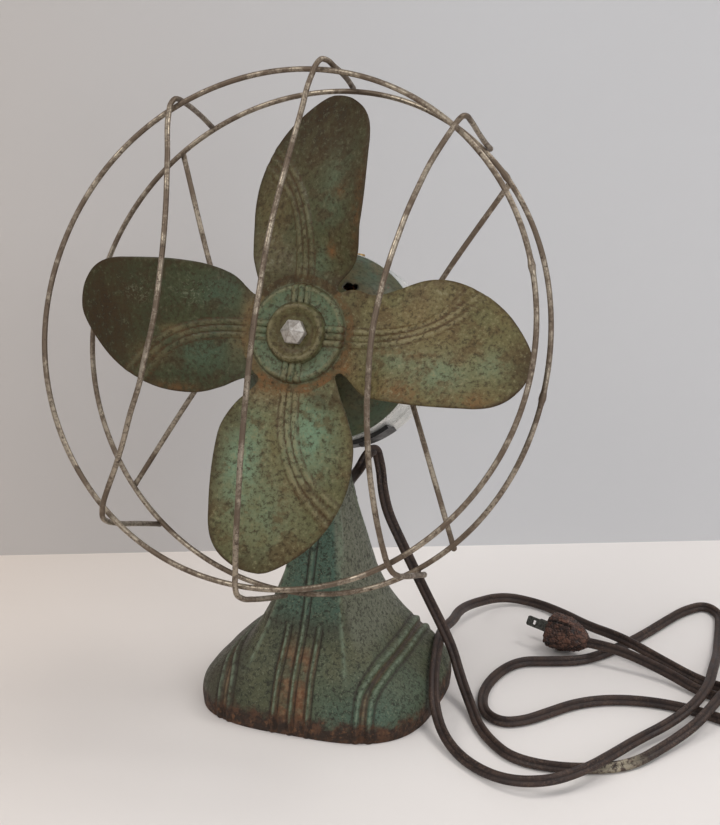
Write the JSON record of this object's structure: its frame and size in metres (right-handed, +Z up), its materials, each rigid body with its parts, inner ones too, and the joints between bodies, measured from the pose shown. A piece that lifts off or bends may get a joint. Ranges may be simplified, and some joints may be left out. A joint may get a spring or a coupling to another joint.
{
  "type": "desk fan",
  "caption": "Desk fan: stamped blades in a round wire guard on a drum motor that tilts on a flared, ribbed pedestal, with a flat mains cord and two-blade plug",
  "frame": {"origin": "on the table under the middle of the pedestal's foot", "axes": "+Z up; the fan blows towards -Y; +X is to its right when it is seen from the front"},
  "size_m": [0.4418, 0.3253, 0.3719],
  "materials": {
    "base_paint": "worn satin enamel",
    "cover_paint": "worn satin enamel",
    "blade_paint": "worn satin enamel",
    "black_steel": "worn black",
    "plate_steel": "dull",
    "screw_steel": "dull",
    "band_steel": "bright, spotted",
    "guard_wire": "aged plating",
    "nut_plate": "worn plating",
    "core_steel": "laminated",
    "copper": "enamelled",
    "bronze": "satin",
    "cage_aluminium": "cast",
    "felt": "felt",
    "cord_rubber": "dull",
    "plug_rubber": "crusted",
    "prong_brass": "tarnished"
  },
  "bodies": {
    "pedestal": {"base_shell": "base_paint", "bottom_plate": "plate_steel", "base_pad": "felt", "base_screws": "screw_steel", "tilt_tongue": "black_steel", "tongue_pin": "screw_steel", "tilt_bolt": "black_steel", "tilt_washers": "screw_steel", "cord_bushing": "cord_rubber", "neck_lead": "cord_rubber", "mains_cord": "cord_rubber", "plug_body": "plug_rubber", "plug_prongs": "prong_brass"},
    "clamp_nut": {"thumb_nut": "black_steel"},
    "head": {"cradle": "black_steel", "cradle_screws": "screw_steel", "front_cover": "cover_paint", "motor_band": "band_steel", "rear_cover": "band_steel", "through_bolts": "screw_steel", "lead_grommet": "cord_rubber", "oil_cup": "nut_plate", "stator_core": "core_steel", "stator_coils": "copper", "shading_rings": "copper", "front_bearing": "bronze", "rear_bearing": "bronze", "oil_felts": "felt", "bearing_caps": "plate_steel", "guard_ring_front": "guard_wire", "guard_ring_rear": "guard_wire", "guard_wire_left": "guard_wire", "guard_wire_centre": "guard_wire", "guard_wire_right": "guard_wire", "guard_strut_left": "guard_wire", "guard_strut_right": "guard_wire", "strut_screws": "screw_steel"},
    "rotor": {"shaft": "screw_steel", "rotor_core": "core_steel", "rotor_cage": "cage_aluminium", "shaft_spacers": "screw_steel", "fan_blades": "blade_paint", "hub_bush": "bronze", "set_screw": "screw_steel", "hub_washer": "plate_steel", "hub_nut": "nut_plate"}
  },
  "joints": [
    {"name": "head_tilt", "type": "hinge", "parent": "pedestal", "child": "head", "pos_m": [0, 0, 0.144], "axis": [-1, 0, 0], "range_deg": [-20, 6]},
    {"name": "blade_spin", "type": "hinge", "parent": "head", "child": "rotor", "pos_m": [0, 0.02309, 0.20262], "axis": [0, 0.9304, -0.3665], "continuous": true},
    {"name": "nut_turn", "type": "hinge", "parent": "pedestal", "child": "clamp_nut", "pos_m": [0, 0, 0.144], "axis": [-1, 0, 0], "continuous": true}
  ]
}
